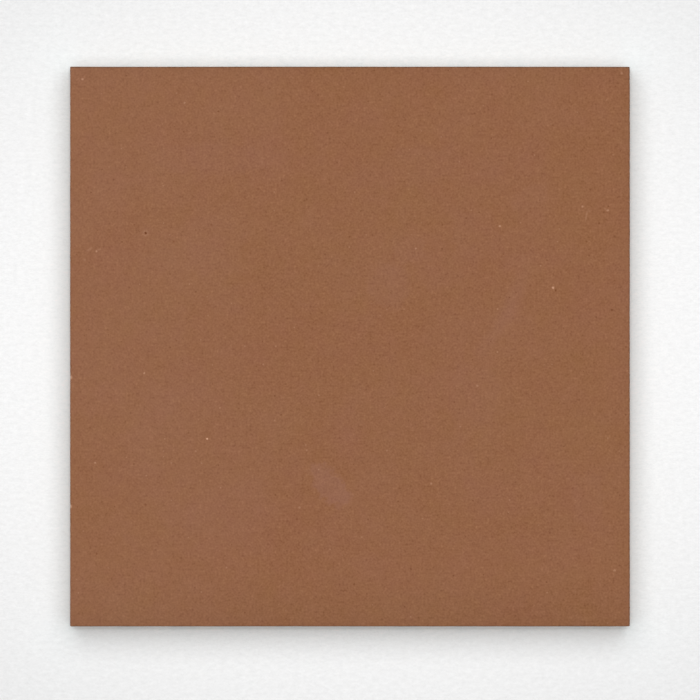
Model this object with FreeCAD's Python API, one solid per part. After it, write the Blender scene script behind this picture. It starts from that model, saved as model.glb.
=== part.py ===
import FreeCAD, Part

import math
import os

# Unglazed terracotta floor tile, one fired piece of clay.
#
# The clay leaves the die as one long ribbon, so the whole tile is a single section in X and Z,
# carried along Y. The die gives the flat wearing face, the two straight sides and the keys on the
# back: parallel dovetail grooves that are wider inside than at the mouth, so that the bedding
# mortar locks into them. A wire cuts the ribbon to length, which makes the two square ends.
#
# Frame: +Z is up through the wearing face, Y runs along the grooves, and the origin is the centre
# of the underside, on the plane that the feet between the grooves stand on. Sizes are millimetres.

# The tile as a whole
FACE_SIDE = 200.0
THICKNESS = 12.5

# Every outer edge is eased a little. The die rounds the edges that run along Y, and the edges
# round the two cut ends are rubbed down to a flat of the same depth.
ARRIS_RADIUS = 0.4

# Keys on the back
GROOVE_PITCH = 20.0
GROOVE_MOUTH = 9.0
GROOVE_DEPTH = 2.0
GROOVE_UNDERCUT_DEG = 15.0
GROOVE_ROOT_RADIUS = 0.6
EDGE_LAND_MIN = 12.0

# Two places closer than this are the same place
TOUCHING = 1e-6

NODE = "floor_tile"


def groove_centres():
    """Centre lines of as many grooves as fit between the two edge lands, even about X = 0."""
    clear_width = FACE_SIDE - 2.0 * EDGE_LAND_MIN - GROOVE_MOUTH
    count = max(0, math.floor(clear_width / GROOVE_PITCH) + 1)
    first = -0.5 * (count - 1) * GROOVE_PITCH
    return [first + i * GROOVE_PITCH for i in range(count)]


def groove_corners(centre):
    """One groove, from its left foot to its right: mouth, root, root, mouth, as (x, z, radius)."""
    half_mouth = 0.5 * GROOVE_MOUTH
    half_root = half_mouth + GROOVE_DEPTH * math.tan(math.radians(GROOVE_UNDERCUT_DEG))
    return [
        (centre - half_mouth, 0.0, ARRIS_RADIUS),
        (centre - half_root, GROOVE_DEPTH, GROOVE_ROOT_RADIUS),
        (centre + half_root, GROOVE_DEPTH, GROOVE_ROOT_RADIUS),
        (centre + half_mouth, 0.0, ARRIS_RADIUS),
    ]


def section_corners():
    """The die's outline as (x, z, radius), along the back from left to right and then over the face."""
    half = 0.5 * FACE_SIDE
    corners = [(-half, 0.0, ARRIS_RADIUS)]
    for centre in groove_centres():
        corners += groove_corners(centre)
    corners += [
        (half, 0.0, ARRIS_RADIUS),
        (half, THICKNESS, ARRIS_RADIUS),
        (-half, THICKNESS, ARRIS_RADIUS),
    ]
    return corners


def round_corner(before, corner, after, radius):
    """The two tangent points and the middle of the arc that rounds one corner of the outline."""
    to_before = (before - corner).normalize()
    to_after = (after - corner).normalize()
    half_angle = 0.5 * to_before.getAngle(to_after)
    set_back = radius / math.tan(half_angle)
    bisector = (to_before + to_after).normalize()
    arc_middle = corner + bisector * (radius / math.sin(half_angle) - radius)
    return corner + to_before * set_back, arc_middle, corner + to_after * set_back


def rounded_wire(corners, y):
    """A closed wire at the given Y: straight runs joined by the tangent arcs of every corner."""
    points = [FreeCAD.Vector(x, y, z) for x, z, _ in corners]
    arcs = []
    for i, (_, _, radius) in enumerate(corners):
        following = points[(i + 1) % len(points)]
        arcs.append(round_corner(points[i - 1], points[i], following, radius))
    edges = []
    for i, (start, middle, end) in enumerate(arcs):
        edges.append(Part.LineSegment(arcs[i - 1][2], start).toShape())
        edges.append(Part.Arc(start, middle, end).toShape())
    return Part.Wire(edges)


def cut_end_edges(ribbon):
    """Every edge that lies in the plane of one of the two wire cuts."""
    half = 0.5 * FACE_SIDE
    chosen = []
    for edge in ribbon.Edges:
        box = edge.BoundBox
        if box.YLength < TOUCHING and abs(abs(box.YMin) - half) < TOUCHING:
            chosen.append(edge)
    return chosen


def rubbed_width():
    """The leg of a 45 degree flat that goes as deep into a square edge as the arris arc does."""
    return ARRIS_RADIUS * (2.0 - math.sqrt(2.0))


def floor_tile():
    """The section drawn out between the two wire cuts, with their sharp edges rubbed down."""
    section = Part.Face(rounded_wire(section_corners(), -0.5 * FACE_SIDE))
    ribbon = section.extrude(FreeCAD.Vector(0.0, FACE_SIDE, 0.0))
    return ribbon.makeChamfer(rubbed_width(), cut_end_edges(ribbon))


def main():
    os.makedirs("parts", exist_ok=True)
    tile = floor_tile()
    tile.exportStep(os.path.join("parts", NODE + ".step"))
    size = tile.BoundBox
    print(
        f"{NODE}: valid {tile.isValid()}, solids {len(tile.Solids)}, faces {len(tile.Faces)}, "
        f"{size.XLength:.2f} x {size.YLength:.2f} x {size.ZLength:.2f} mm, "
        f"{tile.Volume / 1000.0:.1f} cm3, {len(groove_centres())} grooves"
    )


main()
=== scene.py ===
import math

import bpy
import numpy as np
from bpy.props import FloatProperty, FloatVectorProperty, IntProperty, PointerProperty
from bpy.types import Operator, Panel, PropertyGroup
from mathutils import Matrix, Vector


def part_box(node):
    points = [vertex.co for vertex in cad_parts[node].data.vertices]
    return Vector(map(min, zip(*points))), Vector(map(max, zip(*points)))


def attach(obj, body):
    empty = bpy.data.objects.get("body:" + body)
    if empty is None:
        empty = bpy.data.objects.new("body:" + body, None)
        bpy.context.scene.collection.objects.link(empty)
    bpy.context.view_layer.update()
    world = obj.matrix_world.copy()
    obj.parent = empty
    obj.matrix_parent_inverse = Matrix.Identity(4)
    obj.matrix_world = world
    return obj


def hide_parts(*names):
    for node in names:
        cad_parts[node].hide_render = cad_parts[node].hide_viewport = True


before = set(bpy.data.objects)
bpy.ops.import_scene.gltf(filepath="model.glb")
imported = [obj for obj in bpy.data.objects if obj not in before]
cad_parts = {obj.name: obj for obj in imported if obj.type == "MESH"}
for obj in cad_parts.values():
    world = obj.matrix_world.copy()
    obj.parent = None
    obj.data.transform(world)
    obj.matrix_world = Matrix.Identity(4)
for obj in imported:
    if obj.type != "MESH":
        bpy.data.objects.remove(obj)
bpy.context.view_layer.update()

# An unglazed terracotta floor tile, lying on its back with the wearing face up.
#
# The fired tile is one closed mesh. Its outline in X and Z is the extruder's die, carried along Y
# between two wire cuts, with the wear of its edges, its pits and its faint waviness pressed into
# the mesh. The clay's finish is made of shader nodes that read Object coordinates in millimetres.

bl_info = {
    "name": "Terracotta Floor Tile",
    "version": (1, 0, 0),
    "blender": (4, 5, 0),
    "location": "View3D > Sidebar > Floor Tile",
    "description": "Builds an unglazed terracotta floor tile and a plain studio to show it in",
    "category": "Add Mesh",
}

MM = 0.001

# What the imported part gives: its one node and that node's box, in metres
NODE = "floor_tile"
TILE_LOW, TILE_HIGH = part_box(NODE)
SIDE = TILE_HIGH[0] - TILE_LOW[0]
THICKNESS = TILE_HIGH[2] - TILE_LOW[2]

TILE_PIECE = "fired_tile"

# What the settings of one kind have in common
LENGTH = {"unit": "LENGTH", "subtype": "DISTANCE", "precision": 5}
ANGLE = {"unit": "ROTATION", "subtype": "ANGLE"}
COLOUR = {"size": 3, "min": 0.0, "max": 1.0, "subtype": "COLOR"}
FACTOR = {"min": 0.0, "max": 1.0, "subtype": "FACTOR"}

# Node sockets
NUMBER, VECTOR = "NodeSocketFloat", "NodeSocketVector"

# The marks and finishes are given in millimetres, with X and Y from the middle of the wearing face,
# and the marks are chosen one by one. Each pit is (x, y, radius, depth).
# A pit's painted shade grows with its depth
PITS = (
    (-73.0, 40.5, 0.50, 0.24),
    (93.5, 13.0, 0.42, 0.18),
    (-63.0, 37.5, 0.42, 0.12),
    (-73.0, -56.5, 0.42, 0.11),
    (-47.0, 84.0, 0.38, 0.17),
    (73.5, 20.0, 0.34, 0.18),
    (1.5, -85.0, 0.40, 0.13),
    (84.5, 37.5, 0.36, 0.12),
    (-90.5, -74.0, 0.38, 0.12),
    (-49.5, 43.5, 0.36, 0.10),
    (89.0, 44.0, 0.34, 0.15),
)

# Nicks in the arris of the left side: (y, radius, depth)
NICKS = (
    (-11.0, 0.75, 0.32),
    (-57.0, 0.65, 0.26),
)

# Pale grains of grog that show at the surface: (x, y, radius, strength)
GROG = (
    (72.5, 21.0, 0.42, 0.66),
    (-51.0, -33.0, 0.31, 1.00),
    (53.5, 43.0, 0.40, 0.42),
    (92.1, 48.6, 0.40, 0.36),
    (-95.5, 95.5, 0.42, 0.38),
    (-90.5, 34.0, 0.34, 0.38),
    (-73.5, -9.5, 0.36, 0.40),
    (94.5, -80.0, 0.45, 0.25),
    (23.5, 35.0, 0.36, 0.36),
    (83.0, 50.0, 0.38, 0.29),
    (29.0, -49.0, 0.38, 0.28),
    (-91.0, -41.5, 0.30, 0.34),
    (-59.0, 87.0, 0.31, 0.30),
    (45.5, -14.0, 0.38, 0.25),
    (97.0, 97.5, 0.42, 0.22),
    (-18.0, -57.5, 0.42, 0.22),
)

# Pale scuffs on the face: (x, y, half length, half width, turn in degrees, strength)
SCUFFS = (
    (-93.1, 34.7, 1.2, 0.35, 28.0, 0.13),
    (-89.7, 34.6, 0.9, 0.32, 15.0, 0.13),
    (84.4, 46.7, 1.8, 0.33, 80.0, 0.15),
    (85.4, 48.4, 0.5, 0.35, 0.0, 0.10),
    (91.3, 49.1, 0.8, 0.30, -40.0, 0.10),
    (-94.8, 30.9, 0.45, 0.45, 0.0, 0.14),
)

# Patches where the pale bloom lies thicker: (x, y, half length, half width, turn in degrees,
# strength). The last one is a smudge. Then the amount of bloom in a patch of strength 1.
BLOOM = (
    (-49.0, 67.0, 23.0, 6.0, 0.0, 0.8),
    (-49.0, 37.0, 11.0, 13.0, 0.0, 1.0),
    (-57.0, 31.0, 14.0, 5.0, 0.0, 0.8),
    (-45.0, 17.0, 5.5, 6.0, 0.0, 0.7),
    (20.0, 64.0, 19.0, 7.0, 10.0, 0.8),
    (55.0, 65.0, 9.0, 8.0, 0.0, 0.6),
    (64.0, 53.5, 7.0, 4.0, 30.0, 0.8),
    (45.0, 40.0, 8.5, 9.0, 0.0, 0.8),
    (21.0, 34.5, 6.5, 5.0, 0.0, 1.1),
    (14.0, 22.0, 8.0, 8.0, 0.0, 1.4),
    (32.0, 25.0, 9.0, 4.5, 0.0, 0.6),
    (44.0, -17.0, 9.0, 12.0, 0.0, 0.8),
    (-2.5, -28.0, 6.0, 9.0, 0.0, 0.7),
    (-49.0, -40.0, 29.0, 31.0, 0.0, 0.9),
    (85.0, -54.5, 5.5, 10.0, 0.0, 0.9),
    (-7.3, -49.5, 8.5, 4.2, -45.0, 3.8),
)
BLOOM_AMOUNT = 0.035

# Noise that makes the outlines of the bloom and of the spots ragged
BLOOM_SHAKE = {"scale": 0.16, "detail": 3.0, "rough": 0.7, "reach": 11.0}
SPOT_SHAKE = {"scale": 1.8, "detail": 1.0, "rough": 0.5, "reach": 0.5}

# Softness of the marks' edges, as a share of their size, and the upright radius of the ovals
BLOOM_SOFTNESS, SCUFF_SOFTNESS, SPOT_SOFTNESS, RIM_SOFTNESS = 0.24, 0.5, 0.4, 0.5
BLOOM_DEPTH, SCUFF_DEPTH = 30.0, 1.0

# Depth from which a pit's painted shade is full, size of the rim as a multiple of its pit, and
# strength of the grain of grog in a nick
FULL_PIT_SHADE, RIM_GROWTH, NICK_GROG = 0.24, 2.2, 0.75

# Two arcs of a wipe about one centre: (radius, half width, middle angle, half angle, amount), with
# the angles in degrees, and the share of the half angle over which an arc is at its strongest
WIPE_CENTRE, WIPE_FULL = (-28.0, 59.5), 0.3
WIPES = (
    (96.5, 4.5, -29.0, 17.0, 0.063),
    (114.0, 3.5, -55.0, 9.0, 0.021),
)

# How much film lies over the middle and at the left side, the X where it starts to thicken, the
# share of the way to the left side where it is thickest, and the noise in which it lies
FILM_MIDDLE, FILM_LEFT = 0.022, 0.068
FILM_START, FILM_FULL = -5.0, 0.85
FILM_NOISE = {"scale": 0.03, "detail": 3.5, "rough": 0.9}

# Painted shade at the margins of the face, which darkens it towards its sides: (axis, which end
# of it, how far in from that side the change starts, how far in it is full, full change)
PAINTED_MARGINS = (
    ("y", -1.0, 22.0, -2.0, -0.070),
    ("y", -1.0, 5.5, 0.5, -0.025),
    ("y", -1.0, 0.3, 0.05, -0.250),
    ("y", 1.0, 9.0, 1.0, -0.025),
    ("y", 1.0, 3.0, 0.5, -0.030),
    ("y", 1.0, 0.64, 0.18, -0.400),
    ("x", 1.0, 7.0, 0.5, -0.020),
    ("x", 1.0, 0.9, 0.0, -0.180),
    ("x", -1.0, 0.7, 0.0, -0.060),
)

# Sandy grain, finest last: (features in each millimetre, weight). The grains furthest from the mean
# stand out more, so the tone is scaled by its own square times the first number, plus the second.
GRAIN_SIZES = ((0.37, 0.20), (0.74, 0.47), (1.45, 0.96))
GRAIN_CONTRAST = (0.60, 0.95)

# Flecks and pores, at most one to a cell: least and greatest radius and softness of the edge, as
# shares of a cell, the lot below which a cell holds a fleck, the one above which it holds a pore,
# and the depth of a pore in heights of the grain
SPECK_RADII, SPECK_EDGE = (0.04, 0.14), 0.04
FLECK_LOT, PORE_LOT, PORE_DEPTH = 0.16, 0.72, 2.0

# Drag marks: features in each millimetre along X, Y and Z, how much they shade and their height.
# Both kinds are one noise, bent by another by up to its reach.
DIE_STRETCH, DIE_SHADE, DIE_HEIGHT = (1.3, 0.018, 2.2), 0.15, 0.10
WIRE_STRETCH, WIRE_SHADE, WIRE_HEIGHT = (0.35, 1.0, 2.6), 0.18, 0.16
STREAK_BEND, BEND_REACH = {"scale": 0.06, "detail": 1.0}, 3.0
STREAK_NOISE = {"scale": 1.0, "detail": 3.0, "rough": 0.6}

# How much the grain and the mottle move red, green and blue, each against the others, and the
# noise of the mottle
GRAIN_TINT = (1.0, 1.41, 1.85)
MOTTLE_TINT = (0.19, -0.29, 1.8)
MOTTLE_NOISE = {"scale": 0.031, "detail": 3.5, "rough": 0.9, "shift": 71.0}

# How strongly flecks, the painted shade of the pores and the rim of the deepest pit show, and how
# much roughness the grain and the pores add
FLECK_SHARE, PORE_SHARE, RIM_SHARE = 0.20, 0.42, 0.12
GRAIN_ROUGH, PORE_ROUGH = 0.05, 0.10

# Distances from a surface at which its own finish starts and is full: the face's, the wire cuts'
FACE_FADE, END_FADE = (1.2, 0.6), (0.35, 0.15)

# Waviness and edge wear: lengths of the ripples, how much the long and the short ones count, how
# far wear reaches in, its least share and what ripples add to that
LONG_WAVE, SHORT_WAVE, WEAR_WAVE = 46.0, 13.0, 7.0
LONG_SHARE, SHORT_SHARE = 0.7, 0.3
WEAR_REACH, LEAST_WEAR, ADDED_WEAR = 0.45, 0.15, 0.85

# The floor fades from its own colour to the far one over an oval, as painted falloff of the
# light. The oval is given in metres by a scale and a shift of the place and by the two distances
# between which it fades; the shift darkens the floor sooner beyond the tile's back, towards +Y.
FLOOR_OVAL, FLOOR_SHIFT, FLOOR_FADE = (1.92, 2.55, 0.0), (0.0, 0.009, 0.0), (0.10, 0.66)

# Distance in which the painted coolness beside the tile halves, which cancels the reddish light
# that the clay throws on the floor, and the floor's grain: features in each millimetre along X,
# Y and Z, and its noise
COOL_HALVING = 5.0
FLOOR_GRAINS = (0.385, 0.70, 0.70)
FLOOR_NOISE = {"scale": 1.0, "detail": 2.0, "rough": 1.0}


class TileShape(PropertyGroup):
    """The tile's sizes."""

    side: FloatProperty(
        name="Side",
        description="Length of each side of the square face",
        default=SIDE, min=0.05, **LENGTH,
    )
    thickness: FloatProperty(
        name="Thickness",
        description="From the feet on the back to the wearing face",
        default=THICKNESS, min=0.005, **LENGTH,
    )
    arris: FloatProperty(
        name="Arris",
        description="Radius of the edges that the die rounds",
        default=0.42 * MM, min=0.1 * MM, **LENGTH,
    )
    cut_arris: FloatProperty(
        name="Cut Arris",
        description="Radius to which the edges of the wire cuts are rubbed",
        default=0.34 * MM, min=0.05 * MM, **LENGTH,
    )
    groove_pitch: FloatProperty(
        name="Groove Pitch",
        description="Distance between the middles of two grooves on the back",
        default=20.0 * MM, min=12.0 * MM, **LENGTH,
    )
    groove_mouth: FloatProperty(
        name="Groove Mouth",
        description="Width of a groove where it opens on the back",
        default=9.0 * MM, min=3.0 * MM, **LENGTH,
    )
    groove_depth: FloatProperty(
        name="Groove Depth",
        description="Depth of a groove",
        default=2.0 * MM, min=1.5 * MM, **LENGTH,
    )
    groove_lean: FloatProperty(
        name="Groove Lean",
        description="How far a groove's flanks lean outwards, so that the mortar is keyed",
        default=math.radians(15.0), min=0.0, max=math.radians(30.0), **ANGLE,
    )
    groove_root: FloatProperty(
        name="Groove Root",
        description="Radius in the two inner corners of a groove",
        default=0.6 * MM, min=0.1 * MM, **LENGTH,
    )
    edge_land: FloatProperty(
        name="Edge Land",
        description="Least width of plain back beside the outermost grooves",
        default=12.0 * MM, min=2.0 * MM, **LENGTH,
    )
    waviness: FloatProperty(
        name="Waviness",
        description="How deep the faint hollows of the drawn surfaces are",
        default=0.06 * MM, min=0.0, **LENGTH,
    )
    edge_wear: FloatProperty(
        name="Edge Wear",
        description="How much is worn off the edges where they are worn most",
        default=0.14 * MM, min=0.0, **LENGTH,
    )
    seed: IntProperty(
        name="Seed",
        description="Chooses the waviness and the edge wear",
        default=7, min=0,
    )


class TileFinish(PropertyGroup):
    """The fired clay's colours and grain."""

    clay: FloatVectorProperty(
        name="Clay",
        description="Colour of the fired clay",
        default=(0.2748, 0.1134, 0.0510), **COLOUR,
    )
    film: FloatVectorProperty(
        name="Film",
        description="Colour of the thin pale film on the clay",
        default=(0.37, 0.214, 0.162), **COLOUR,
    )
    haze: FloatVectorProperty(
        name="Haze",
        description="Colour of the patches of bloom and of the wipe marks",
        default=(0.365, 0.186, 0.182), **COLOUR,
    )
    grog: FloatVectorProperty(
        name="Grog",
        description="Colour of the pale grains in the clay",
        default=(0.66, 0.37, 0.24), **COLOUR,
    )
    # The pore colour is painted shade, laid into the pits and pores
    pore: FloatVectorProperty(
        name="Pore",
        description="Colour of the clay inside a pit or a pore",
        default=(0.160, 0.048, 0.014), **COLOUR,
    )
    sand: FloatProperty(
        name="Sand",
        description="How much the fine sandy grain lightens and darkens the clay",
        default=0.178, **FACTOR,
    )
    mottle: FloatProperty(
        name="Mottle",
        description="How much the clay wanders between olive and rose",
        default=0.10, **FACTOR,
    )
    bloom: FloatProperty(
        name="Bloom",
        description="How unevenly the pale film lies",
        default=0.10, **FACTOR,
    )
    sand_height: FloatProperty(
        name="Sand Height",
        description="Height of the sandy grain on the surface",
        default=0.03 * MM, min=0.0, **LENGTH,
    )
    roughness: FloatProperty(
        name="Roughness",
        description="Mean roughness of the bare clay",
        default=0.85, **FACTOR,
    )
    gloss: FloatProperty(
        name="Gloss",
        description="Specular level of the bare clay, where 0.5 is that of a glazed surface",
        default=0.25, **FACTOR,
    )


class StudioSetup(PropertyGroup):
    """The floor, the light and the camera."""

    floor: FloatVectorProperty(
        name="Floor",
        description="Colour of the floor under the tile",
        default=(0.988, 0.990, 0.993), **COLOUR,
    )
    # Painted cool tint beside the tile that cancels the reddish light the clay throws on the floor
    floor_against_bounce: FloatVectorProperty(
        name="Near Floor",
        description="Colour of the floor beside the tile, a touch cool to balance the clay's glow",
        default=(0.942, 0.996, 1.0), **COLOUR,
    )
    far_floor: FloatVectorProperty(
        name="Far Floor",
        description="Colour of the floor away from the tile",
        default=(0.75, 0.75, 0.75), **COLOUR,
    )
    floor_grain: FloatProperty(
        name="Floor Grain",
        description="How much the floor's colour varies in its fine grain",
        default=0.125, min=0.0, max=0.5, subtype="FACTOR",
    )
    floor_radius: FloatProperty(
        name="Floor Radius",
        description="Radius of the round floor",
        default=6.0, min=0.5, **LENGTH,
    )
    softbox_share: FloatProperty(
        name="Softbox Share",
        description="Share of the light that comes from the broad lamp",
        default=0.66, **FACTOR,
    )
    softbox_lean: FloatProperty(
        name="Softbox Lean",
        description="How far the broad lamp stands from straight overhead, towards +Y",
        default=math.radians(14.4), min=0.0, max=math.radians(80.0), **ANGLE,
    )
    softbox_reach: FloatProperty(
        name="Softbox Reach",
        description="Angle from the middle of the broad lamp to its edge, seen from the tile",
        default=math.radians(34.5), min=math.radians(1.0), max=math.radians(70.0), **ANGLE,
    )
    top_share: FloatProperty(
        name="Top Lamp Share",
        description="Share of the light that comes from the small lamp overhead",
        default=0.075, **FACTOR,
    )
    top_lean: FloatProperty(
        name="Top Lamp Lean",
        description="How far the small lamp stands from straight overhead, towards +Y",
        default=math.radians(2.3), min=0.0, max=math.radians(80.0), **ANGLE,
    )
    top_reach: FloatProperty(
        name="Top Lamp Reach",
        description="Angle from the middle of the small lamp to its edge, seen from the tile",
        default=math.radians(2.0), min=math.radians(1.0), max=math.radians(70.0), **ANGLE,
    )
    softbox_distance: FloatProperty(
        name="Softbox Distance",
        description="From the tile to the middle of the broad lamp",
        default=2.6, min=0.3, **LENGTH,
    )
    top_distance: FloatProperty(
        name="Top Lamp Distance",
        description="From the tile to the middle of the small lamp",
        default=1.0, min=0.3, **LENGTH,
    )
    lens: FloatProperty(
        name="Lens",
        description="Focal length of the camera's lens, in millimetres",
        default=300.0, min=10.0, unit="CAMERA",
    )
    view_width: FloatProperty(
        name="View Width",
        description="Width of the picture at the wearing face",
        default=250.0 * MM, min=0.05, **LENGTH,
    )
    aim: FloatVectorProperty(
        name="Aim",
        description="Point of the wearing face in the middle of the picture",
        default=(0.0, -1.24 * MM), size=2, unit="LENGTH", subtype="XYZ", precision=5,
    )


# Grid lines and outlines


def graded_lines(low, high, coarse, fine, marks, reach, samples=40001):
    """Grid lines from low to high that crowd together at each mark.

    Lines stand coarse apart, and at a mark fine apart. Between the two their number for each unit
    of length follows a bell curve as wide as reach. The lines are the equal steps of its running
    sum over many samples.
    """
    places = np.linspace(low, high, samples)
    bells = np.exp(-(((places[:, None] - np.asarray(marks)[None, :]) / reach) ** 2))
    density = 1.0 / coarse + (1.0 / fine - 1.0 / coarse) * bells.max(axis=1)
    steps = 0.5 * (density[1:] + density[:-1]) * np.diff(places)
    running = np.concatenate([[0.0], np.cumsum(steps)])
    count = math.ceil(running[-1])
    return np.interp(np.linspace(0.0, running[-1], count + 1), running, places)


def snapped(lines, wanted):
    """The same lines with the nearest one moved onto each wanted place."""
    moved = lines.copy()
    moved[np.abs(lines[:, None] - wanted[None, :]).argmin(axis=0)] = wanted
    return moved


def arc(centre, radius, start, end, steps, hollow=False):
    """Points and outward normals of an arc, from the start angle to the end angle.

    A point is the centre plus the radius times its normal. In a hollow corner the clay lies outside
    the circle, so it is the centre minus the radius times its normal.
    """
    angle = np.linspace(start, end, steps + 1)
    normals = np.column_stack([np.cos(angle), np.sin(angle)])
    side = -1.0 if hollow else 1.0
    return np.asarray(centre) + side * radius * normals, normals


def groove_centres(shape):
    """Middles of as many grooves as fit between the two edge lands, even about X = 0."""
    rounding = 1e-6
    clear = shape.side - 2.0 * shape.edge_land - shape.groove_mouth
    count = max(0, math.floor(clear / shape.groove_pitch + rounding) + 1)
    return (np.arange(count) - 0.5 * (count - 1)) * shape.groove_pitch


def groove_outline(shape, steps, hold):
    """One groove about X = 0, from its left foot to its right, as points and outward normals.

    The left half is a rounded lip on the foot, the leaning flank and the rounded root. The right
    half is the same, mirrored and in reverse. A point at the distance hold from each arc keeps the
    flat stretches flat under smooth shading.
    """
    lean = shape.groove_lean
    down = -0.5 * math.pi
    half_corner = 0.5 * (0.5 * math.pi - lean)
    half_mouth = 0.5 * shape.groove_mouth
    half_root = half_mouth + shape.groove_depth * math.tan(lean)
    lip_x = -half_mouth - shape.arris / math.tan(half_corner)
    root_x = -half_root + shape.groove_root / math.tan(half_corner)
    lip = arc((lip_x, shape.arris), shape.arris, down, lean, steps)
    root_centre = (root_x, shape.groove_depth - shape.groove_root)
    root = arc(root_centre, shape.groove_root, lean, down, steps, hollow=True)
    foot_point = [[lip_x - hold, 0.0]]
    roof_point = [[root_x + hold, shape.groove_depth]]
    points = np.concatenate([foot_point, lip[0], root[0], roof_point])
    normals = np.concatenate([[[0.0, -1.0]], lip[1], root[1], [[0.0, -1.0]]])
    middle = [[0.0, shape.groove_depth]]
    mirror = np.array([-1.0, 1.0])
    return (
        np.concatenate([points, middle, points[::-1] * mirror]),
        np.concatenate([normals, [[0.0, -1.0]], normals[::-1] * mirror]),
    )


def back_outline(shape, steps, hold):
    """The whole back from left to right: every groove, with a point between each two."""
    points, normals = groove_outline(shape, steps, hold)
    points = np.concatenate([[[-0.5 * shape.groove_pitch, 0.0]], points])
    normals = np.concatenate([[[0.0, -1.0]], normals])
    centres = groove_centres(shape)
    shift = np.column_stack([centres, np.zeros(len(centres))])
    every = (shift[:, None, :] + points[None, :, :]).reshape(-1, 2)
    return every, np.tile(normals, (len(centres), 1))


def section_outline(shape, lines_x, wall_lines, steps, hold):
    """The die's outline, counter-clockwise seen from -Y, as points, outward normals and runs.

    It goes along the back to the right, up the right wall, along the face to the left and down the
    left wall. runs gives the first and the last number of each stretch of the outline.
    """
    half, top, radius = 0.5 * shape.side, shape.thickness, shape.arris
    quarter = 0.5 * math.pi
    inner_lines = lines_x[1:-1][::-1]
    right_wall = np.column_stack([np.full(len(wall_lines), half), wall_lines])
    face = np.column_stack([inner_lines, np.full(len(inner_lines), top)])
    stretches = {
        "back_left": arc((radius - half, radius), radius, -2 * quarter, -quarter, steps),
        "back": back_outline(shape, steps, hold),
        "back_right": arc((half - radius, radius), radius, -quarter, 0.0, steps),
        "right_wall": (right_wall, np.tile([1.0, 0.0], (len(wall_lines), 1))),
        "face_right": arc((half - radius, top - radius), radius, 0.0, quarter, steps),
        "face": (face, np.tile([0.0, 1.0], (len(inner_lines), 1))),
        "face_left": arc((radius - half, top - radius), radius, quarter, 2 * quarter, steps),
        "left_wall": (
            right_wall[::-1] * np.array([-1.0, 1.0]),
            np.tile([-1.0, 0.0], (len(wall_lines), 1)),
        ),
    }
    ends = np.cumsum([len(points) for points, _ in stretches.values()])
    runs = {
        name: (end - len(points), end - 1)
        for (name, (points, _)), end in zip(stretches.items(), ends)
    }
    points = np.concatenate([points for points, _ in stretches.values()])
    normals = np.concatenate([normals for _, normals in stretches.values()])
    return points, normals, runs


def zipped(lower, lower_place, upper, upper_place):
    """Triangles that close the strip between two rows of vertices, both numbered left to right.

    The two rows' places are sorted together. Each step along either row makes one triangle with the
    vertex that the other row has reached.
    """
    place = np.concatenate([lower_place[1:], upper_place[1:]])
    on_lower = np.arange(len(place)) < len(lower) - 1
    order = np.argsort(place, kind="stable")
    on_lower = on_lower[order]
    at_lower = np.cumsum(on_lower)
    at_upper = np.cumsum(~on_lower)
    lower_step = np.column_stack([lower[at_lower - 1], lower[at_lower], upper[at_upper]])
    upper_step = np.column_stack([lower[at_lower], upper[at_upper], upper[at_upper - 1]])
    return np.where(on_lower[:, None], lower_step, upper_step)


# Relief, as a depth in metres by which a vertex is pushed into the clay


def ripples(points, length, seed, waves=28):
    """Smooth random relief between 0 and 1: plane waves of about one length, added up.

    The sum is cut off at twice its spread, which is the root of half the number of waves.
    """
    shortest, longest = 0.7, 1.6
    random = np.random.default_rng(seed)
    headings = random.normal(size=(waves, 3))
    headings /= np.linalg.norm(headings, axis=1)[:, None]
    lengths = length * random.uniform(shortest, longest, waves)
    phases = random.uniform(0.0, 2.0 * math.pi, waves)
    total = np.cos(2.0 * math.pi * points @ (headings / lengths[:, None]).T + phases).sum(axis=1)
    spread = math.sqrt(0.5 * waves)
    return 0.5 + 0.25 * np.clip(total / spread, -2.0, 2.0)


def near(distance, reach):
    """1 at no distance, falling to nothing over about twice the reach, as a bell curve."""
    return np.exp(-((distance / reach) ** 2))


def relief(points, shape):
    """How far each vertex goes into the clay: waviness, worn edges, pits and nicks.

    Waviness is ripples of two lengths. Wear is strongest where two of the three distances to the
    faces of the tile's box are small. A pit and a nick are bell-shaped dents.
    """
    half, top = 0.5 * shape.side, shape.thickness
    x, y, z = points.T
    long_wave = ripples(points, LONG_WAVE * MM, shape.seed)
    short_wave = ripples(points, SHORT_WAVE * MM, shape.seed + 1)
    depth = shape.waviness * (LONG_SHARE * long_wave + SHORT_SHARE * short_wave)
    edge = WEAR_REACH * MM
    to_x, to_y = near(half - np.abs(x), edge), near(half - np.abs(y), edge)
    to_z = near(np.minimum(z, top - z), edge)
    at_edge = np.clip(to_x * to_z + to_y * to_z + to_x * to_y, 0.0, 1.0)
    wear = LEAST_WEAR + ADDED_WEAR * ripples(points, WEAR_WAVE * MM, shape.seed + 2) ** 2
    depth += shape.edge_wear * at_edge * wear
    for pit_x, pit_y, radius, deep in PITS:
        away = np.sqrt((x - pit_x * MM) ** 2 + (y - pit_y * MM) ** 2 + (z - top) ** 2)
        depth += deep * MM * near(away, radius * MM)
    for nick_y, radius, deep in NICKS:
        away = np.sqrt((x + half) ** 2 + (y - nick_y * MM) ** 2 + (z - top) ** 2)
        depth += deep * MM * near(away, radius * MM)
    return depth


# The tile's mesh


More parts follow.
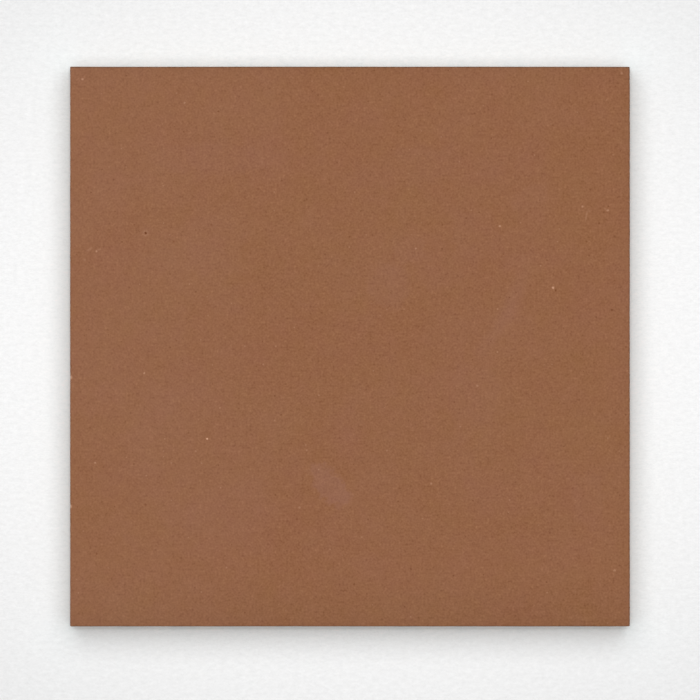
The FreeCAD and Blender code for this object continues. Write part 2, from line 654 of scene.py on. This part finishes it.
def tile_mesh(shape):
    """The fired tile: the die's outline carried along Y, closed by a cap at each wire cut.

    Every vertex of the ribbon and the caps is then pushed along its normal into the clay by the
    relief.
    """
    steps, hold = 3, 0.45 * MM
    coarse, fine, reach = 1.75 * MM, 0.22 * MM, 0.70 * MM
    above_grooves, beside_flank, cap_lines = 1.5 * MM, 0.15 * MM, 5
    top, centres = shape.thickness, groove_centres(shape)

    # Lines of the face's grid, closer at the pits, the nicks and the edges
    flat_x, flat_y = 0.5 * shape.side - shape.arris, 0.5 * shape.side - shape.cut_arris
    marks_x = [*(pit[0] * MM for pit in PITS), -flat_x, flat_x]
    marks_y = [*(pit[1] * MM for pit in PITS), *(nick[0] * MM for nick in NICKS), -flat_y, flat_y]
    lines_x = graded_lines(-flat_x, flat_x, coarse, fine, marks_x, reach)
    lines_y = graded_lines(-flat_y, flat_y, coarse, fine, marks_y, reach)

    # The caps' grid starts clear above the grooves, with one line just outside each flank's rise
    cap_low = shape.groove_depth + above_grooves
    beside = 0.5 * shape.groove_mouth + cap_low * math.tan(shape.groove_lean) + beside_flank
    lines_x = snapped(lines_x, np.concatenate([centres - beside, centres + beside]))
    under = np.array([shape.arris + hold, 0.5 * (shape.arris + cap_low)])
    cap_levels = np.linspace(cap_low, top - shape.arris - hold, cap_lines)
    wall_lines = np.concatenate([under, cap_levels])

    outline, outward, runs = section_outline(shape, lines_x, wall_lines, steps, hold)
    ribbon_points, ribbon_normals = ribbon(outline, outward, lines_y, shape.cut_arris, steps)
    number = np.arange(ribbon_points.shape[0] * len(outline)).reshape(-1, len(outline))
    ahead = np.roll(number, -1, axis=1)
    around = np.stack([number[:-1], number[1:], ahead[1:], ahead[:-1]], axis=-1)
    points, normals, quads, triangles = caps(
        shape, outline, runs, number, lines_x[1:-1], cap_levels, beside
    )
    points = np.concatenate([ribbon_points.reshape(-1, 3), *points])
    normals = np.concatenate([ribbon_normals.reshape(-1, 3), *normals])
    quads = np.concatenate([around.reshape(-1, 4), *quads])
    points = points - normals * relief(points, shape)[:, None]
    return mesh_from_arrays(TILE_PIECE, points, quads, np.concatenate(triangles))


def ribbon(outline, outward, lines_y, cut, steps):
    """Points and normals of the ribbon, over its stations along Y and the outline's points.

    A point is the outline's point less the station's inset times its normal, at the station's Y.
    Near each end the inset and Y follow a quarter circle of radius cut, which is the rubbed arris.
    """
    turn = np.linspace(0.5 * math.pi, 0.0, steps + 1)
    turns = np.concatenate([-turn, np.zeros(len(lines_y) - 2), turn[::-1]])
    stations = np.concatenate([
        lines_y[0] - cut * np.sin(turn),
        lines_y[1:-1],
        lines_y[-1] + cut * np.sin(turn[::-1]),
    ])
    inset = cut * (1.0 - np.cos(turns))
    flat = outline[None, :, :] - inset[:, None, None] * outward[None, :, :]
    along = np.broadcast_to(stations[:, None], flat.shape[:2])
    lie = np.cos(turns)[:, None, None] * outward[None, :, :]
    tilt = np.broadcast_to(np.sin(turns)[:, None], flat.shape[:2])
    return (
        np.stack([flat[..., 0], along, flat[..., 1]], axis=-1),
        np.stack([lie[..., 0], tilt, lie[..., 1]], axis=-1),
    )


def caps(shape, outline, runs, number, inner_x, levels, beside):
    """Points, normals, quads and triangles of the two caps that close the ribbon at its ends.

    A cap is a flat grid above the grooves. Each of its rows runs from a vertex of the left wall to
    one of the right wall, and it is zipped to the outline above and below it.
    """
    half, ring = 0.5 * shape.side, len(outline)
    walls = runs["right_wall"][1] - runs["right_wall"][0] + 1
    up = np.arange(walls - len(levels), walls)
    right_ends = np.append(runs["right_wall"][0] + up, runs["face_right"][0])
    left_ends = np.append(runs["left_wall"][1] - up, runs["face_left"][1])
    row_z = np.append(levels, shape.thickness - shape.arris)
    row_x = np.concatenate([[-half], inner_x, [half]])
    over = np.arange(runs["face_left"][1] - 1, runs["face_right"][0], -1)
    below = np.concatenate([np.arange(left_ends[0] + 1, ring), np.arange(0, right_ends[0])])
    below_x = below_places(outline[below], groove_centres(shape), beside)
    points, normals, quads, triangles = [], [], [], []
    made = number.size
    for base, facing in ((number[0, 0], -1.0), (number[-1, 0], 1.0)):
        grid = made + np.arange(len(row_z) * len(inner_x)).reshape(len(row_z), -1)
        made += grid.size
        ends = base + left_ends[:, None], base + right_ends[:, None]
        table = np.concatenate([ends[0], grid, ends[1]], axis=1)
        cap_x, cap_z = np.meshgrid(inner_x, row_z)
        cap_y = np.full(cap_x.shape, facing * half)
        points.append(np.stack([cap_x, cap_y, cap_z], axis=-1).reshape(-1, 3))
        normals.append(np.tile([0.0, facing, 0.0], (grid.size, 1)))
        cells = np.stack([table[:-1, :-1], table[:-1, 1:], table[1:, 1:], table[1:, :-1]], axis=-1)
        strips = np.concatenate([
            zipped(base + below, below_x, table[0], row_x),
            zipped(table[-1], row_x, base + over, outline[over, 0]),
        ])
        order = slice(None) if facing < 0.0 else slice(None, None, -1)
        quads.append(cells.reshape(-1, 4)[:, order])
        triangles.append(strips[:, order])
    return points, normals, quads, triangles


def below_places(points, centres, beside):
    """Where each point of the back meets the caps' lowest row, as an X that only grows.

    A groove's lip, flank and root would cross over themselves, so the left ones all go to the row's
    line just left of the groove and the right ones to the line just right of it.
    """
    x, z = points.T
    place = x.copy()
    groove = np.abs(x[:, None] - centres[None, :]).argmin(axis=1)
    from_middle = x - centres[groove]
    middle, touching, least_step = 1.0 * MM, 1e-7, 1e-9
    roof = z >= z.max(where=np.abs(from_middle) < middle, initial=0.0) - touching
    flank = (np.abs(from_middle) < beside) & ~roof
    step = np.arange(len(x)) * least_step
    place[flank] = (centres[groove] + np.sign(from_middle) * beside)[flank] + step[flank]
    return np.maximum.accumulate(place)


def new_object(name, data):
    """A new object in the scene, at the origin and unturned."""
    made = bpy.data.objects.new(name, data)
    bpy.context.scene.collection.objects.link(made)
    return made


def mesh_from_arrays(name, points, quads, triangles):
    """A smooth mesh from arrays of vertices, four-cornered faces and three-cornered faces."""
    mesh = bpy.data.meshes.new(name)
    corners = np.concatenate([quads.ravel(), triangles.ravel()]).astype(np.int32)
    sizes = np.concatenate([np.full(len(quads), 4), np.full(len(triangles), 3)])
    starts = np.concatenate([[0], np.cumsum(sizes)[:-1]]).astype(np.int32)
    mesh.vertices.add(len(points))
    mesh.loops.add(len(corners))
    mesh.polygons.add(len(sizes))
    mesh.vertices.foreach_set("co", points.astype(np.float32).ravel())
    mesh.loops.foreach_set("vertex_index", corners)
    mesh.polygons.foreach_set("loop_start", starts)
    mesh.polygons.foreach_set("use_smooth", np.ones(len(sizes), dtype=bool))
    mesh.update(calc_edges=True)
    if mesh.validate():
        raise RuntimeError(f"{name}: the mesh had faults")
    return new_object(name, mesh)


# Shader nodes


def new_material(name):
    """A new material, its tree, its shader and the Object coordinates in metres."""
    material = bpy.data.materials.new(name)
    material.use_nodes = True
    tree = material.node_tree
    place = tree.nodes.new("ShaderNodeTexCoord").outputs["Object"]
    return material, tree, tree.nodes["Principled BSDF"], place


def feed(tree, socket, value):
    """Links an output to the socket, or sets the socket to a plain value."""
    if isinstance(value, bpy.types.NodeSocket):
        tree.links.new(value, socket)
    else:
        socket.default_value = value


def math_node(tree, operation, *values, clamp=False):
    """A Math node with these inputs. Returns its output."""
    made = tree.nodes.new("ShaderNodeMath")
    made.operation = operation
    made.use_clamp = clamp
    for socket, value in zip(made.inputs, values):
        feed(tree, socket, value)
    return made.outputs[0]


def times(tree, first, second):
    """The product of two numbers."""
    return math_node(tree, "MULTIPLY", first, second)


def vector_node(tree, operation, *values, output=0):
    """A Vector Math node with these inputs. Returns the output of that number."""
    made = tree.nodes.new("ShaderNodeVectorMath")
    made.operation = operation
    for socket, value in zip(made.inputs, values):
        feed(tree, socket, value)
    return made.outputs[output]


def scaled(tree, vector, factor):
    """The vector times a number."""
    made = tree.nodes.new("ShaderNodeVectorMath")
    made.operation = "SCALE"
    feed(tree, made.inputs[0], vector)
    feed(tree, made.inputs["Scale"], factor)
    return made.outputs[0]


def ramp(tree, value, start, end, low=0.0, high=1.0):
    """A smooth step from low at start to high at end."""
    made = tree.nodes.new("ShaderNodeMapRange")
    made.interpolation_type = "SMOOTHSTEP"
    names = ("Value", "From Min", "From Max", "To Min", "To Max")
    for name, setting in zip(names, (value, start, end, low, high)):
        feed(tree, made.inputs[name], setting)
    return made.outputs["Result"]


def mixed(tree, factor, first, second):
    """A blend of two colours."""
    made = tree.nodes.new("ShaderNodeMix")
    made.data_type = "RGBA"
    feed(tree, made.inputs[0], factor)
    feed(tree, made.inputs[6], first)
    feed(tree, made.inputs[7], second)
    return made.outputs[2]


def parts_of(tree, vector):
    """The three parts of a vector."""
    made = tree.nodes.new("ShaderNodeSeparateXYZ")
    feed(tree, made.inputs[0], vector)
    return made.outputs


def noise(tree, place, scale, detail, rough=0.5, output="Fac", shift=0.0):
    """Noise with about scale features in each unit of length, read at a place shifted by shift."""
    made = tree.nodes.new("ShaderNodeTexNoise")
    if shift:
        place = vector_node(tree, "ADD", place, (shift, shift, shift))
    feed(tree, made.inputs["Vector"], place)
    feed(tree, made.inputs["Scale"], scale)
    made.inputs["Detail"].default_value = detail
    made.inputs["Roughness"].default_value = rough
    return made.outputs[output]


def shaken(tree, place, scale, detail, rough, reach):
    """The place moved about by noise, by up to half of reach along each axis."""
    shift = noise(tree, place, scale, detail, rough, output="Color")
    shift = vector_node(tree, "SUBTRACT", shift, (0.5, 0.5, 0.5))
    return vector_node(tree, "ADD", place, scaled(tree, shift, reach))


def about_zero(tree, value):
    """Noise of 0 to 1 as about -1 to 1."""
    return math_node(tree, "MULTIPLY_ADD", value, 2.0, -1.0)


def new_group(name, inputs, outputs):
    """An empty node group whose sockets have these names and kinds."""
    tree = bpy.data.node_groups.new(name, "ShaderNodeTree")
    for side, sockets in (("INPUT", inputs), ("OUTPUT", outputs)):
        for label, kind in sockets.items():
            tree.interface.new_socket(name=label, in_out=side, socket_type=kind)
    given = tree.nodes.new("NodeGroupInput")
    taken = tree.nodes.new("NodeGroupOutput")
    return tree, given.outputs, taken.inputs


def place_group(tree, group, **values):
    """Puts a group into a tree. A value's name is the socket's, with underscores for spaces."""
    made = tree.nodes.new("ShaderNodeGroup")
    made.node_tree = group
    for name, value in values.items():
        feed(tree, made.inputs[name.replace("_", " ")], value)
    return made.outputs


def sand_group():
    """Sandy grain of fired clay: three sizes of grain, fine pale flecks, pores for painted shade.
    """
    tree, given, taken = new_group(
        "Fired Sand",
        {"Place": VECTOR, "Grain": NUMBER, "Spacing": NUMBER},
        {"Tone": NUMBER, "Height": NUMBER, "Pores": NUMBER, "Flecks": NUMBER},
    )
    place = given["Place"]
    layers = []
    for finer, weight in GRAIN_SIZES:
        scale = math_node(tree, "DIVIDE", finer, given["Grain"])
        layer = about_zero(tree, noise(tree, place, scale, detail=0.0))
        layers.append(times(tree, layer, weight))
    tone = added(tree, layers)
    stretch = math_node(tree, "MULTIPLY_ADD", times(tree, tone, tone), *GRAIN_CONTRAST)
    tone = times(tree, tone, stretch)
    feed(tree, taken["Tone"], tone)

    cells = tree.nodes.new("ShaderNodeTexVoronoi")
    feed(tree, cells.inputs["Vector"], place)
    feed(tree, cells.inputs["Scale"], math_node(tree, "DIVIDE", 1.0, given["Spacing"]))
    lot = tree.nodes.new("ShaderNodeSeparateColor")
    feed(tree, lot.inputs[0], cells.outputs["Color"])
    size = ramp(tree, lot.outputs[0], 0.2, 1.0, *SPECK_RADII)
    inside = math_node(tree, "SUBTRACT", size, cells.outputs["Distance"])
    spot = ramp(tree, inside, -SPECK_EDGE, SPECK_EDGE)
    dark = math_node(tree, "GREATER_THAN", lot.outputs[1], PORE_LOT)
    pale = math_node(tree, "LESS_THAN", lot.outputs[1], FLECK_LOT)
    pores = times(tree, spot, dark)
    feed(tree, taken["Pores"], pores)
    feed(tree, taken["Flecks"], times(tree, spot, pale))
    feed(tree, taken["Height"], math_node(tree, "MULTIPLY_ADD", pores, -PORE_DEPTH, tone))
    return tree


def spot_group():
    """A soft-edged oval spot: 1 inside and 0 outside."""
    tree, given, taken = new_group(
        "Clay Spot",
        {"Place": VECTOR, "Centre": VECTOR, "Turn": VECTOR, "Radii": VECTOR, "Softness": NUMBER},
        {"Mask": NUMBER},
    )
    mapping = tree.nodes.new("ShaderNodeMapping")
    mapping.vector_type = "TEXTURE"
    feed(tree, mapping.inputs["Vector"], given["Place"])
    feed(tree, mapping.inputs["Location"], given["Centre"])
    feed(tree, mapping.inputs["Rotation"], given["Turn"])
    feed(tree, mapping.inputs["Scale"], given["Radii"])
    away = vector_node(tree, "LENGTH", mapping.outputs[0], output=1)
    inner = math_node(tree, "SUBTRACT", 1.0, given["Softness"])
    outer = math_node(tree, "ADD", 1.0, given["Softness"])
    feed(tree, taken["Mask"], ramp(tree, away, inner, outer, 1.0, 0.0))
    return tree


def wipe_group():
    """A thin curved smear: a stretch of a ring that fades at its two ends and its two sides."""
    tree, given, taken = new_group(
        "Wipe Mark",
        {
            "Place": VECTOR,
            "Centre": VECTOR,
            "Radius": NUMBER,
            "Width": NUMBER,
            "Middle Angle": NUMBER,
            "Half Angle": NUMBER,
        },
        {"Mask": NUMBER},
    )
    ray = vector_node(tree, "SUBTRACT", given["Place"], given["Centre"])
    x, y, _ = parts_of(tree, ray)
    level_ray = vector_node(tree, "MULTIPLY", ray, (1.0, 1.0, 0.0))
    away = vector_node(tree, "LENGTH", level_ray, output=1)
    off_ring = math_node(tree, "ABSOLUTE", math_node(tree, "SUBTRACT", away, given["Radius"]))
    across = ramp(tree, math_node(tree, "DIVIDE", off_ring, given["Width"]), 0.0, 1.0, 1.0, 0.0)
    turned = math_node(tree, "SUBTRACT", math_node(tree, "ARCTAN2", y, x), given["Middle Angle"])
    turned = math_node(tree, "DIVIDE", math_node(tree, "ABSOLUTE", turned), given["Half Angle"])
    along = ramp(tree, turned, WIPE_FULL, 1.0, 1.0, 0.0)
    feed(tree, taken["Mask"], times(tree, across, along))
    return tree


def streak_group():
    """Drawn-out streaks, as a die or a wire leaves them: noise stretched by the Stretch vector."""
    tree, given, taken = new_group(
        "Drag Streaks", {"Place": VECTOR, "Stretch": VECTOR}, {"Tone": NUMBER}
    )
    bent = noise(tree, given["Place"], output="Color", **STREAK_BEND)
    place = vector_node(tree, "ADD", given["Place"], scaled(tree, bent, BEND_REACH))
    drawn = vector_node(tree, "MULTIPLY", place, given["Stretch"])
    feed(tree, taken["Tone"], about_zero(tree, noise(tree, drawn, **STREAK_NOISE)))
    return tree


def added(tree, values):
    """The sum of several outputs."""
    total = values[0]
    for value in values[1:]:
        total = math_node(tree, "ADD", total, value)
    return total


def largest(tree, values):
    """The largest of several outputs."""
    total = values[0]
    for value in values[1:]:
        total = math_node(tree, "MAXIMUM", total, value)
    return total


def clay_surfaces(tree, place, shape):
    """Masks of the wearing face, of what the die drew and of the two wire cuts."""
    half, top = 0.5 * shape.side / MM, shape.thickness / MM
    _, y, z = parts_of(tree, place)
    far_y = math_node(tree, "ABSOLUTE", y)
    on_face = ramp(tree, z, top - FACE_FADE[0], top - FACE_FADE[1])
    on_ends = ramp(tree, far_y, half - END_FADE[0], half - END_FADE[1])
    below = math_node(tree, "SUBTRACT", 1.0, on_face)
    drawn = times(tree, below, math_node(tree, "SUBTRACT", 1.0, on_ends))
    return on_face, drawn, on_ends


def painted_margin_shade(tree, place, half):
    """Painted shade at the face's four sides: how much darker, as a share of the clay's colour."""
    x, y, _ = parts_of(tree, place)
    axes = {"x": x, "y": y}
    return added(tree, [
        ramp(tree, axes[axis], side * (half - starts), side * (half - full), 0.0, change)
        for axis, side, starts, full, change in PAINTED_MARGINS
    ])


def bloom_amounts(tree, place, groups, shape, finish):
    """How much pale bloom lies on the clay: a thin uneven film, and then patches and wipe marks."""
    half, top = 0.5 * shape.side / MM, shape.thickness / MM
    x, _, _ = parts_of(tree, place)
    uneven = about_zero(tree, noise(tree, place, **FILM_NOISE))
    film = added(tree, [
        times(tree, uneven, finish.bloom),
        ramp(tree, x, FILM_START, -FILM_FULL * half, FILM_MIDDLE, FILM_LEFT),
    ])
    torn = shaken(tree, place, **BLOOM_SHAKE)
    marks = ovals(BLOOM, top, BLOOM_DEPTH)
    patches = strongest_mark(tree, torn, groups["spot"], marks, BLOOM_SOFTNESS)
    thicker = [times(tree, patches, BLOOM_AMOUNT)]
    for radius, width, middle, spread, amount in WIPES:
        mask = place_group(
            tree,
            groups["wipe"],
            Place=place,
            Centre=(*WIPE_CENTRE, top),
            Radius=radius,
            Width=width,
            Middle_Angle=math.radians(middle),
            Half_Angle=math.radians(spread),
        )["Mask"]
        thicker.append(times(tree, mask, amount))
    return film, largest(tree, thicker)


def ovals(marks, height, depth):
    """Ovals (x, y, half length, half width, turn, strength) as (centre, radii, turn, strength)."""
    return [
        ((x, y, height), (half_length, half_width, depth), turn, strength)
        for x, y, half_length, half_width, turn, strength in marks
    ]


def rounds(marks, height, growth=1.0):
    """Round spots (x, y, radius, strength), all grown alike, as (centre, radii, turn, strength)."""
    return [
        ((x, y, height), (radius * growth,) * 3, 0.0, strength)
        for x, y, radius, strength in marks
    ]


def strongest_mark(tree, place, group, marks, softness):
    """The strongest of many soft-edged spots, each (centre, radii, turn, strength)."""
    masks = []
    for centre, radii, turn, strength in marks:
        mask = place_group(
            tree,
            group,
            Place=place,
            Centre=centre,
            Turn=(0.0, 0.0, math.radians(turn)),
            Radii=radii,
            Softness=softness,
        )["Mask"]
        masks.append(times(tree, mask, strength))
    return largest(tree, masks)


def clay_material(shape, finish):
    """The fired clay: sandy grain, mottle, bloom, grog, pits, margins and the drag marks below.

    The margins of the face and the pits and pores are darkened with painted shade.
    """
    material, tree, shader, place = new_material("terracotta_clay")
    place = scaled(tree, place, 1.0 / MM)
    half, top = 0.5 * shape.side / MM, shape.thickness / MM
    groups = {"sand": sand_group(), "spot": spot_group(), "wipe": wipe_group()}
    streaks = streak_group()

    on_face, drawn, on_ends = clay_surfaces(tree, place, shape)
    grain = place_group(tree, groups["sand"], Place=place, Grain=1.0, Spacing=2.2)
    ragged = shaken(tree, place, **SPOT_SHAKE)

    # Drag marks, where the clay slid through the die and where the wire went through it
    die_lines = place_group(tree, streaks, Place=place, Stretch=DIE_STRETCH)["Tone"]
    wire_drag = place_group(tree, streaks, Place=place, Stretch=WIRE_STRETCH)["Tone"]
    die_lines = times(tree, die_lines, drawn)
    wire_drag = times(tree, wire_drag, on_ends)

    # The clay's own colour, with painted shade at the margins of the face
    painted_shade_and_streaks = added(tree, [
        times(tree, painted_margin_shade(tree, place, half), on_face),
        times(tree, die_lines, DIE_SHADE),
        times(tree, wire_drag, WIRE_SHADE),
    ])
    sandy = scaled(tree, GRAIN_TINT, times(tree, grain["Tone"], finish.sand))
    wandering = about_zero(tree, noise(tree, place, **MOTTLE_NOISE))
    rosy = scaled(tree, MOTTLE_TINT, times(tree, wandering, finish.mottle))
    factor = vector_node(tree, "ADD", sandy, rosy)
    factor = vector_node(tree, "ADD", factor, math_node(tree, "ADD", painted_shade_and_streaks, 1.0))
    colour = vector_node(tree, "MULTIPLY", factor, finish.clay)

    # What lies on the clay and in it, with painted shade in the pits and pores
    film, haze = bloom_amounts(tree, place, groups, shape, finish)
    # A pit's painted shade grows with its depth
    pit_marks = [(x, y, radius, min(1.0, deep / FULL_PIT_SHADE)) for x, y, radius, deep in PITS]
    grog_marks = [*GROG, *((-half, y, radius, NICK_GROG) for y, radius, _ in NICKS)]
    rim_marks = rounds(pit_marks[:1], top, RIM_GROWTH)
    scuff_marks = ovals(SCUFFS, top, SCUFF_DEPTH)
    spot = groups["spot"]
    in_pit = strongest_mark(tree, ragged, spot, rounds(pit_marks, top), SPOT_SOFTNESS)
    pit_rim = strongest_mark(tree, ragged, spot, rim_marks, RIM_SOFTNESS)
    on_grog = strongest_mark(tree, ragged, spot, rounds(grog_marks, top), SPOT_SOFTNESS)
    scuffed = strongest_mark(tree, ragged, spot, scuff_marks, SCUFF_SOFTNESS)
    for amount, laid in (
        (film, finish.film),
        (haze, finish.haze),
        (times(tree, grain["Flecks"], FLECK_SHARE), finish.grog),
        (times(tree, grain["Pores"], PORE_SHARE), finish.pore),
        (times(tree, pit_rim, RIM_SHARE), finish.grog),
        (scuffed, finish.grog),
        (on_grog, finish.grog),
        (in_pit, finish.pore),
    ):
        colour = mixed(tree, amount, colour, (*laid, 1.0))
    feed(tree, shader.inputs["Base Color"], colour)

    # Gloss is low, and lower still in the pores
    rough = added(tree, [
        times(tree, grain["Tone"], GRAIN_ROUGH),
        times(tree, math_node(tree, "MAXIMUM", grain["Pores"], in_pit), PORE_ROUGH),
    ])
    rough = math_node(tree, "ADD", rough, finish.roughness, clamp=True)
    feed(tree, shader.inputs["Roughness"], rough)
    shader.inputs["Specular IOR Level"].default_value = finish.gloss

    # Relief too fine for the mesh, in millimetres
    height = added(tree, [
        times(tree, grain["Height"], finish.sand_height / MM),
        times(tree, die_lines, DIE_HEIGHT),
        times(tree, wire_drag, WIRE_HEIGHT),
    ])
    bump = tree.nodes.new("ShaderNodeBump")
    bump.inputs["Strength"].default_value = 1.0
    bump.inputs["Distance"].default_value = MM
    feed(tree, bump.inputs["Height"], height)
    feed(tree, shader.inputs["Normal"], bump.outputs[0])
    return material


# The studio


def floor_material(studio, half_side):
    """A pale floor, painted darker away from the tile as falloff of the light, sooner along Y, and
    painted cool beside it to cancel the reddish light that the clay throws there.

    A fine grain lies over it all.
    """
    material, tree, shader, place = new_material("studio_floor")
    # Painted falloff of the light away from the tile
    oval = vector_node(tree, "MULTIPLY_ADD", place, FLOOR_OVAL, FLOOR_SHIFT)
    painted_falloff = ramp(tree, vector_node(tree, "LENGTH", oval, output=1), *FLOOR_FADE)
    colour = mixed(tree, painted_falloff, (*studio.floor, 1.0), (*studio.far_floor, 1.0))
    # Painted cool tint beside the tile, against the reddish light that the clay throws there
    outside = vector_node(tree, "ABSOLUTE", place)
    outside = vector_node(tree, "SUBTRACT", outside, (half_side, half_side, 0.0))
    outside = vector_node(tree, "MAXIMUM", outside, (0.0, 0.0, 0.0))
    away = vector_node(tree, "LENGTH", outside, output=1)
    halvings = math_node(tree, "DIVIDE", away, COOL_HALVING * MM)
    cool = math_node(tree, "POWER", 0.5, halvings)
    colour = mixed(tree, cool, colour, (*studio.floor_against_bounce, 1.0))
    drawn = vector_node(tree, "MULTIPLY", place, [each / MM for each in FLOOR_GRAINS])
    grain = about_zero(tree, noise(tree, drawn, **FLOOR_NOISE))
    grain = math_node(tree, "MULTIPLY_ADD", grain, studio.floor_grain, 1.0)
    colour = scaled(tree, colour, grain)
    colour = vector_node(tree, "MINIMUM", colour, (1.0, 1.0, 1.0))
    feed(tree, shader.inputs["Base Color"], colour)
    shader.inputs["Roughness"].default_value = 1.0
    shader.inputs["Specular IOR Level"].default_value = 0.0
    return material


def studio_floor(studio, half_side):
    """A round floor at Z = 0: radius times cosine and sine of the angle, over rings and spokes."""
    spokes, rings = 64, 12
    angle = np.linspace(0.0, 2.0 * math.pi, spokes, endpoint=False)
    radius = studio.floor_radius * np.linspace(0.0, 1.0, rings + 1)[1:] ** 2
    ring = np.stack([np.cos(angle), np.sin(angle), np.zeros(spokes)], axis=-1)
    points = np.concatenate([[[0.0, 0.0, 0.0]], (radius[:, None, None] * ring).reshape(-1, 3)])
    number = 1 + np.arange(rings * spokes).reshape(rings, spokes)
    ahead = np.roll(number, -1, axis=1)
    quads = np.stack([number[:-1], number[1:], ahead[1:], ahead[:-1]], axis=-1).reshape(-1, 4)
    fan = np.column_stack([np.zeros(spokes, dtype=int), number[0], ahead[0]])
    floor = mesh_from_arrays("studio_floor", points, quads, fan)
    floor.data.materials.append(floor_material(studio, half_side))


def studio_lamp(name, distance, lean, reach, share):
    """A square lamp that faces the origin, leans towards +Y and gives its share of the light."""
    half_size = distance * math.tan(reach)
    lamp = bpy.data.lights.new(name, "AREA")
    lamp.shape = "SQUARE"
    lamp.size = 2.0 * half_size
    lamp.energy = share * full_power(distance, lean, half_size)
    holder = new_object(name, lamp)
    holder.location = (0.0, distance * math.sin(lean), distance * math.cos(lean))
    holder.rotation_euler = (-lean, 0.0, 0.0)


def full_power(distance, lean, half_size):
    """Watts at which one square lamp gives an upward surface at the origin its own colour.

    A lamp of area A and power P has a radiance of P / (pi A). What reaches the surface is the sum
    over the lamp of its radiance times both cosines over the square of the distance, and it has to
    come to pi.
    """
    cells = 200
    across = half_size * ((np.arange(cells) + 0.5) / (0.5 * cells) - 1.0)
    u, v = np.meshgrid(across, across)
    y = distance * math.sin(lean) + v * math.cos(lean)
    z = distance * math.cos(lean) - v * math.sin(lean)
    square = u**2 + y**2 + z**2
    return math.pi**2 / (z * distance / square**2).mean()


def studio_world(studio, share):
    """An even light from all round that gives its share, and looks like the far floor."""
    world = bpy.data.worlds.new("studio_world")
    world.use_nodes = True
    tree = world.node_tree
    background = tree.nodes["Background"]
    paths = tree.nodes.new("ShaderNodeLightPath").outputs
    seen = largest(
        tree, [paths["Is Camera Ray"], paths["Is Glossy Ray"], paths["Is Transmission Ray"]]
    )
    colour = mixed(tree, seen, (1.0, 1.0, 1.0, 1.0), (*studio.far_floor, 1.0))
    feed(tree, background.inputs["Color"], colour)
    feed(tree, background.inputs["Strength"], math_node(tree, "MAXIMUM", seen, share))
    bpy.context.scene.world = world


def studio_light(studio):
    """A broad lamp, a small one and the light from all round, which together give 1."""
    studio_lamp(
        "softbox",
        studio.softbox_distance,
        studio.softbox_lean,
        studio.softbox_reach,
        studio.softbox_share,
    )
    studio_lamp(
        "top_lamp", studio.top_distance, studio.top_lean, studio.top_reach, studio.top_share
    )
    studio_world(studio, 1.0 - studio.softbox_share - studio.top_share)


def studio_camera(studio, top):
    """A camera that looks straight down, with +Y up in the picture."""
    camera = bpy.data.cameras.new("studio_camera")
    camera.lens = studio.lens
    distance = studio.view_width * studio.lens / camera.sensor_width
    camera.clip_start = 0.1 * distance
    camera.clip_end = 20.0 * distance
    holder = new_object("studio_camera", camera)
    holder.location = (*studio.aim, top + distance)
    bpy.context.scene.camera = holder


# Operators, panel and registration


class TILE_OT_build_tile(Operator):
    """Build the fired tile and its clay"""

    bl_idname = "floor_tile.build_tile"
    bl_label = "Build Floor Tile"

    def execute(self, context):
        shape, finish = context.scene.tile_shape, context.scene.tile_finish
        tile = tile_mesh(shape)
        tile.data.materials.append(clay_material(shape, finish))
        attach(tile, "root")
        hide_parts(NODE)
        return {"FINISHED"}


class TILE_OT_build_studio(Operator):
    """Build the floor, the light and the camera"""

    bl_idname = "floor_tile.build_studio"
    bl_label = "Build Studio"

    def execute(self, context):
        scene = context.scene
        studio = scene.tile_studio
        studio_floor(studio, 0.5 * scene.tile_shape.side)
        studio_light(studio)
        studio_camera(studio, scene.tile_shape.thickness)
        scene.view_settings.view_transform = "Standard"
        return {"FINISHED"}


class TILE_PT_panel(Panel):
    """Sizes, colours and the two build steps"""

    bl_idname = "TILE_PT_panel"
    bl_label = "Floor Tile"
    bl_space_type = "VIEW_3D"
    bl_region_type = "UI"
    bl_category = "Floor Tile"

    def draw(self, context):
        layout = self.layout
        scene = context.scene
        for group in (scene.tile_shape, scene.tile_finish, scene.tile_studio):
            column = layout.column(align=True)
            for name in group.__annotations__:
                column.prop(group, name)
        layout.operator(TILE_OT_build_tile.bl_idname)
        layout.operator(TILE_OT_build_studio.bl_idname)


CLASSES = (
    TileShape,
    TileFinish,
    StudioSetup,
    TILE_OT_build_tile,
    TILE_OT_build_studio,
    TILE_PT_panel,
)


def register():
    """Adds the classes and their settings to the scene."""
    for kind in CLASSES:
        bpy.utils.register_class(kind)
    bpy.types.Scene.tile_shape = PointerProperty(type=TileShape)
    bpy.types.Scene.tile_finish = PointerProperty(type=TileFinish)
    bpy.types.Scene.tile_studio = PointerProperty(type=StudioSetup)


def unregister():
    """Takes them away again."""
    del bpy.types.Scene.tile_studio
    del bpy.types.Scene.tile_finish
    del bpy.types.Scene.tile_shape
    for kind in reversed(CLASSES):
        bpy.utils.unregister_class(kind)


def main():
    """Builds everything."""
    register()
    bpy.ops.floor_tile.build_tile()
    bpy.ops.floor_tile.build_studio()


if __name__ == "__main__":
    main()
